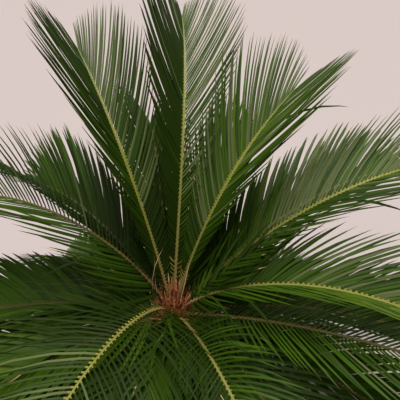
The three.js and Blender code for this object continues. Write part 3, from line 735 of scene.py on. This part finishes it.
def leafStubTube(draw):
    # The stub of a stalk in the middle of each leaf base: straight = outward + lift up, with a rough skin
    row, column = (v.ravel() for v in np.meshgrid(np.arange(1, trunk["rows"]), np.arange(trunk["around"])))
    count = len(row)
    turn = (column + 0.5 + row % 2 / 2) * 360 / trunk["around"]
    turn += draw.normal(0, leafStub["turnSpread"], count)
    share = row / trunk["rows"]
    outward = heading(turn, 0)
    root = trunkPoint(outward, share)
    lift = leafStub["lift"][0] + leafStub["lift"][1] * share[:, None]
    least, gain = leafStub["lengthByHeight"]
    length = leafStub["length"] * draw.uniform(*leafStub["lengthRange"], count) * (least + gain * share)
    width = leafStub["width"] * (1 - leafStub["widthFall"] * share)
    width *= draw.uniform(*leafStub["widthRange"], count)
    straight, across = unit(outward + lift * up), np.cross(up, outward)
    points = blades(root, straight, across, 0 * root, length, width, leafStub)
    rough = leafStub["grain"] * ripple(points, size=0.006, seed=21)
    points += rough[..., None] * unit(points * (1 - up))
    return points, leafStub["looks"]


def trunkTubes(draw):
    # The bulb, (trunkRadius(share), foot + share height), and the stubs on it
    share = np.linspace(0, 1, trunk["stations"])
    outline = np.stack([trunkRadius(share), plant["trunkFoot"] + share * plant["trunkHeight"]], -1)
    foot, top = [[trunk["footRadius"], outline[0, 1]]], [[trunk["topRadius"], outline[-1, 1]]]
    outline = np.concatenate([foot, outline, top])

    def leafBases(points):
        # Lozenges on a staggered net: 1 - 2 max(|a|, |b|) for the distances a and b to its two sets of lines
        column = np.arctan2(points[..., 1], points[..., 0]) / (2 * math.pi) * trunk["around"]
        row = (points[..., 2] - plant["trunkFoot"]) / plant["trunkHeight"] * trunk["rows"]
        a, b = column - 0.5 - row / 2, column - 0.5 + row / 2
        inner = 1 - 2 * np.maximum(np.abs(a - np.round(a)), np.abs(b - np.round(b)))
        pad, ridge = trunk["padShares"]
        pad = np.clip(inner * trunk["padSlope"], 0, 1) ** trunk["padBend"] * pad + ridge * inner
        grain = ripple(points * trunk["grainStretch"], size=0.006, seed=11)
        grain += ripple(points, size=0.003, seed=12)
        grain *= trunk["grain"]
        edge = (trunk["edgeSlope"] * np.minimum(row, trunk["rows"] - row)).clip(0, 1)
        wall = fromAxis(points) > trunk["plainRadius"]
        return (trunk["relief"] * pad * edge + grain) * wall, 0

    return [turnedTube(outline, trunk["sides"], leafBases), leafStubTube(draw)]


def barkFinish():
    # Weathered leaf bases: grey brown below, rustier towards the crown, with dark fibres in the seams
    finish = Finish("trunkBark", Roughness=0.93, Specular_IOR_Level=0.2)
    height = finish.node("ShaderNodeSeparateXYZ", values={0: finish.place()}, output=2)
    fibre = finish.noise(scale=90, detail=6, place=finish.place(stretch=(1, 1, 0.25)))
    level = (height - plant["trunkFoot"]) * (1 / plant["trunkHeight"]) + (fibre - 0.5) * trunk["fibreShift"]
    colour = finish.ramp(level, *trunk["colours"])
    finish.paint("Base Color", finish.mix(fibre, trunk["seamColour"], colour))
    grain = finish.noise(scale=240, detail=5, place=finish.place(stretch=(1, 1, 0.3)))
    finish.relief(grain, depth=0.0022)
    return finish


barkFinishes = [
    barkFinish(),
    woolFinish("stalkStub", (0.060, 0.034, 0.020), (0.185, 0.115, 0.065), 170),
    woolFinish("stalkCut", (0.13, 0.080, 0.045), (0.34, 0.235, 0.140), 380),
]
makePiece("trunk_bark", trunkTubes(draw), barkFinishes, ["trunk"], sharp=70)
level = draw.uniform(trunk["hairLowest"], 1, trunk["hairs"])
outward = heading(draw.uniform(0, 360, trunk["hairs"]), 0)
hairs = hairTube(trunkPoint(outward, level), outward, trunk["hairLength"], draw)
makePiece("trunk_fibres", [hairs], [leafFinish("trunkFibre", (0.24, 0.13, 0.065), 0.85)], ["trunk"])
print("trunk made")


# The soil: an uneven bed that falls off to the wall, with bark chips, clods and grains of pumice
soil = {
    "foot": 0.0143, "footRadius": 0.03, "fall": 0.006, "fallBend": 1.5, "ledge": 0.083, "slack": 0.0006,
    "innerRadius": 0.05, "rows": 60, "sides": 200, "bumps": 0.0013, "bumpsOver": 0.2, "bumpsFrom": 0.055,
    "roughness": 0.98, "dampShare": 0.5, "dampGloss": 0.25,
    "bumpWaves": ((0.6, 0.03, 41), (1, 0.008, 42), (0.5, 0.004, 43)),  # share, size and seed
    "rimGap": 0.001,  # from the wall to the nearest bump or lump
}
lump = {
    "tilt": 9, "lift": 0.25, "lengthRange": (0.5, 1.2), "widthRange": (0.45, 0.8), "curl": 0.1,
    "rings": (0, 0.15, 0.5, 0.85, 1), "widths": (0.4, 0.85, 1, 0.8, 0.35),
    "section": ((0.5, 0), (0.25, 0.84), (-0.25, 0.84), (-0.5, 0), (0, -0.8)), "rough": 0.05,
    # finish, count, size and thickness of the clods, the chips and the grains
    "kinds": ((1, 420, 0.007, 0.5), (2, 150, 0.013, 0.2), (3, 46, 0.0045, 0.6)), "from": 0.077, "to": 0.144,
}
pot = {
    "height": 0.300, "footRadius": 0.122, "neckRadius": 0.162, "rimRadius": 0.170, "rimHeight": 0.032,
    "rimSlope": 0.002, "wall": 0.009, "floor": 0.014, "edge": 0.003, "capRadius": 0.03, "sides": 144,
    "rowStep": 0.004, "rings": 0.00022, "ringRate": 700, "ringDrift": 3, "driftRate": 60, "wobble": 0.6,
    "wobbleStretch": (0.1, 0.1, 1),
    "plainEdge": 0.004,  # the height without rings at the foot and the rim
}
clay = {
    "colours": ((0.3, (0.36, 0.135, 0.062)), (0.52, (0.45, 0.185, 0.088)), (0.72, (0.53, 0.245, 0.125))),
    "gritColour": (0.62, 0.36, 0.22), "bloomColour": (0.66, 0.55, 0.46), "bloomShift": 0.12,
    "roughness": 0.94, "cloudGloss": 0.22, "gritEnds": (0.62, 0.74),
    "bloom": ((0, 0.55), (0.05, 0.3), (0.11, 0), (0.24, 0), (0.3, 0.28)),  # its share, by height
}


def potInside(height):
    # inner radius at a height below the rim
    share = (height - pot["floor"]) / (pot["height"] - pot["rimHeight"] - pot["floor"])
    return pot["footRadius"] - pot["wall"] + (pot["neckRadius"] - pot["footRadius"]) * share


soilEdge = potInside(plant["soilTop"] - soil["fall"])  # the wall's radius where the bed meets it
bedEdge = soilEdge - soil["slack"]


def bedHeight(radius):
    # flat round the trunk, then down to the wall: soilTop - fall past^fallBend
    past = np.clip((radius - soil["ledge"]) / (bedEdge - soil["ledge"]), 0, 1)
    return plant["soilTop"] - soil["fall"] * past ** soil["fallBend"]


def lumpPoints(count, size, thickness, draw):
    # Clods or chips scattered on the bed: short blunt blades that lie at any turn, half sunk
    radius = np.sqrt(draw.uniform(lump["from"] ** 2, lump["to"] ** 2, count))
    outward = heading(draw.uniform(0, 360, count), 0)
    straight = unit(heading(draw.uniform(0, 360, count), draw.normal(0, lump["tilt"], count)))
    length = size * draw.uniform(*lump["lengthRange"], count)
    level = bedHeight(radius) + size * thickness * lump["lift"]
    root = outward * radius[:, None] + up * level[:, None] - straight * length[:, None] / 2
    width = length * draw.uniform(*lump["widthRange"], count)
    shape = {**lump, "section": [(x, y * thickness) for x, y in lump["section"]]}
    across, bend = unit(np.cross(up, straight)), lump["curl"] * up + 0 * root
    points = blades(root, straight, across, bend, length, width, shape)
    points += lump["rough"] * size * ripple(points, size, seed=31)[..., None]
    return points[fromAxis(points).max((1, 2)) < soilEdge - soil["rimGap"]]


def soilTubes(draw):
    # The bed, (radius, bedHeight(radius)) over a flat foot, and the lumps on it
    radii = np.linspace(bedEdge, soil["innerRadius"], soil["rows"])
    outline = np.concatenate([
        [[soil["footRadius"], soil["foot"]], [potInside(soil["foot"]) - soil["slack"], soil["foot"]]],
        np.stack([radii, bedHeight(radii)], -1),
    ])

    def crumbs(points):
        # bumps times a sum of ripples, on top and between the trunk and the wall
        spread = fromAxis(points)
        bed = (spread > soil["bumpsFrom"]) & (spread < bedEdge - soil["rimGap"])
        bed &= points[..., 2] > soil["bumpsOver"]
        bump = sum(share * ripple(points[..., :2], size, seed) for share, size, seed in soil["bumpWaves"])
        return 0 * spread, soil["bumps"] * bump * bed

    tubes = [turnedTube(outline, soil["sides"], crumbs)]
    for look, count, size, thickness in lump["kinds"]:
        tubes.append((lumpPoints(count, size, thickness, draw), look))
    return tubes


def potTubes():
    # The outline from the middle of the underside, up outside, over the rim and down to the floor inside
    rimFoot = pot["height"] - pot["rimHeight"]
    inside = pot["neckRadius"] - pot["wall"]
    outline = softened([
        (pot["capRadius"], 0), (pot["footRadius"], 0), (pot["neckRadius"], rimFoot),
        (pot["rimRadius"], rimFoot + pot["rimSlope"]), (pot["rimRadius"], pot["height"]),
        (inside, pot["height"]), (inside, rimFoot),
        (pot["footRadius"] - pot["wall"], pot["floor"]), (pot["capRadius"], pot["floor"]),
    ], pot["edge"])
    fine = [outline[:1]]
    for a, b in zip(outline, outline[1:]):
        steps = max(1, int(np.linalg.norm(b - a) / pot["rowStep"]))
        fine.append(a + (b - a) * (np.arange(1, steps + 1) / steps)[:, None])
    outline = np.concatenate(fine)

    def throwing(points):
        # faint rings from the wheel: sin(rate h + drift sin(driftRate h)) + wobble times a ripple
        height = points[..., 2]
        wall = (height > pot["plainEdge"]) & (height < pot["height"] - pot["plainEdge"])
        rings = np.sin(height * pot["ringRate"] + pot["ringDrift"] * np.sin(height * pot["driftRate"]))
        wobble = ripple(points * pot["wobbleStretch"], size=0.02, seed=51)
        return pot["rings"] * (rings + pot["wobble"] * wobble) * wall, 0

    return [turnedTube(outline, pot["sides"], throwing)]


def soilFinish(name, dark, light, grain, ends=(0.35, 0.68)):
    # Flecks of two browns, darker and glossier where it is damp
    finish = Finish(name, Specular_IOR_Level=0.25)
    fleck = finish.noise(grain, detail=6)
    damp = finish.noise(scale=14, detail=2)
    flecks = finish.ramp(fleck, *zip(ends, (dark, light)))
    finish.paint("Base Color", finish.mix(damp * soil["dampShare"], flecks, dark))
    finish.paint("Roughness", soil["roughness"] - damp * soil["dampGloss"])
    finish.relief(fleck, depth=0.003)
    return finish


def clayFinish():
    # Fired clay: warm mottle, fine pale grit, and a chalky bloom low down and under the rim
    finish = Finish("potClay", Specular_IOR_Level=0.3)
    place = finish.place()
    height = finish.node("ShaderNodeSeparateXYZ", values={0: place}, output=2)
    cloud = finish.noise(scale=9, detail=4, place=place)
    grit = finish.noise(scale=700, detail=2, place=place)
    speckle = finish.ramp(grit, *zip(clay["gritEnds"], ((0, 0, 0), (1, 1, 1))))
    colour = finish.mix(speckle, finish.ramp(cloud, *clay["colours"]), clay["gritColour"])
    level = height + (finish.noise(scale=22, detail=5, place=place) - 0.5) * clay["bloomShift"]
    bloom = finish.ramp(level, *((at, (share,) * 3) for at, share in clay["bloom"]))
    finish.paint("Base Color", finish.mix(bloom, colour, clay["bloomColour"]))
    finish.paint("Roughness", clay["roughness"] - cloud * clay["cloudGloss"])
    finish.relief(grit, depth=0.0003)
    return finish


soilFinishes = [
    soilFinish("soilBed", (0.016, 0.010, 0.007), (0.085, 0.055, 0.036), 330),
    soilFinish("soilClod", (0.020, 0.013, 0.009), (0.11, 0.072, 0.048), 420),
    soilFinish("barkChip", (0.05, 0.028, 0.016), (0.23, 0.13, 0.072), 260),
    soilFinish("pumiceGrain", (0.42, 0.40, 0.36), (0.66, 0.63, 0.58), 900),
]
makePiece("soil_bed", soilTubes(draw), soilFinishes, ["soil"], sharp=60)
makePiece("pot_clay", potTubes(), [clayFinish()], ["pot"])
print("soil and pot made")


# The studio: a wide pale floor, a broad soft light from behind and the right, and a weaker one in front
studio = {
    "floorSide": 90, "floorColour": (0.54, 0.475, 0.505), "cloudShare": 0.1, "cloudTone": 0.93,
    "sky": (1.0, 0.95, 0.80), "skyStrength": 0.22, "lampDistance": 3,
    "fill": (218, 60, 0.75, 60, (1.0, 0.98, 0.9)),
    "floorLevel": -0.0006,  # just under the pot, so that their faces don't fight
    "key": (60, 76, 2.9, 50, (1.0, 0.95, 0.85)),  # turn, slope, strength, spread, colour
}
camera = {
    "place": (0, -0.6317, 0.9993), "angle": 50,
    "right": 4.698,  # degrees from +Y
    "down": 27.711,  # degrees under the level
}


def skyLight(name, turn, slope, strength, spread, colour):
    # a distant light that shines from this turn and slope, spread degrees wide
    lamp = bpy.data.lights.new(name, "SUN")
    lamp.energy = strength
    lamp.angle = math.radians(spread)
    lamp.color = colour
    holder = addObject(name, lamp)
    holder.location = crownCentre + studio["lampDistance"] * heading(turn, slope)
    holder.rotation_euler = (math.radians(90 - slope), 0, math.radians(turn + 90))


def floorPlane():
    # One square, with a mottle so faint that it only breaks the flat tone
    finish = Finish("studioFloor", Roughness=0.9, Specular_IOR_Level=0.1)
    colour = studio["floorColour"]
    darker = tuple(studio["cloudTone"] * c for c in colour)
    cloud = finish.noise(scale=0.8, detail=2)
    finish.paint("Base Color", finish.mix(cloud * studio["cloudShare"], colour, darker))
    mesh = bpy.data.meshes.new("studio_floor")
    half = studio["floorSide"] / 2
    corners = [(x * half, y * half, studio["floorLevel"]) for x, y in ((-1, -1), (1, -1), (1, 1), (-1, 1))]
    mesh.from_pydata(corners, [], [(0, 1, 2, 3)])
    mesh.materials.append(finish.material)
    plane = addObject("studio_floor", mesh)


floorPlane()
skyLight("key_light", *studio["key"])
skyLight("fill_light", *studio["fill"])
world = bpy.data.worlds.new("studio_sky")
world.use_nodes = True
background = world.node_tree.nodes["Background"]
background.inputs["Color"].default_value = (*studio["sky"], 1)
background.inputs["Strength"].default_value = studio["skyStrength"]
scene.world = world
scene.view_settings.view_transform = "Standard"
lens = bpy.data.cameras.new("photo_camera")
lens.angle = math.radians(camera["angle"])
holder = addObject("photo_camera", lens)
holder.location = camera["place"]
holder.rotation_euler = (math.radians(90 - camera["down"]), 0, -math.radians(camera["right"]))
scene.camera = holder
print("studio lit")
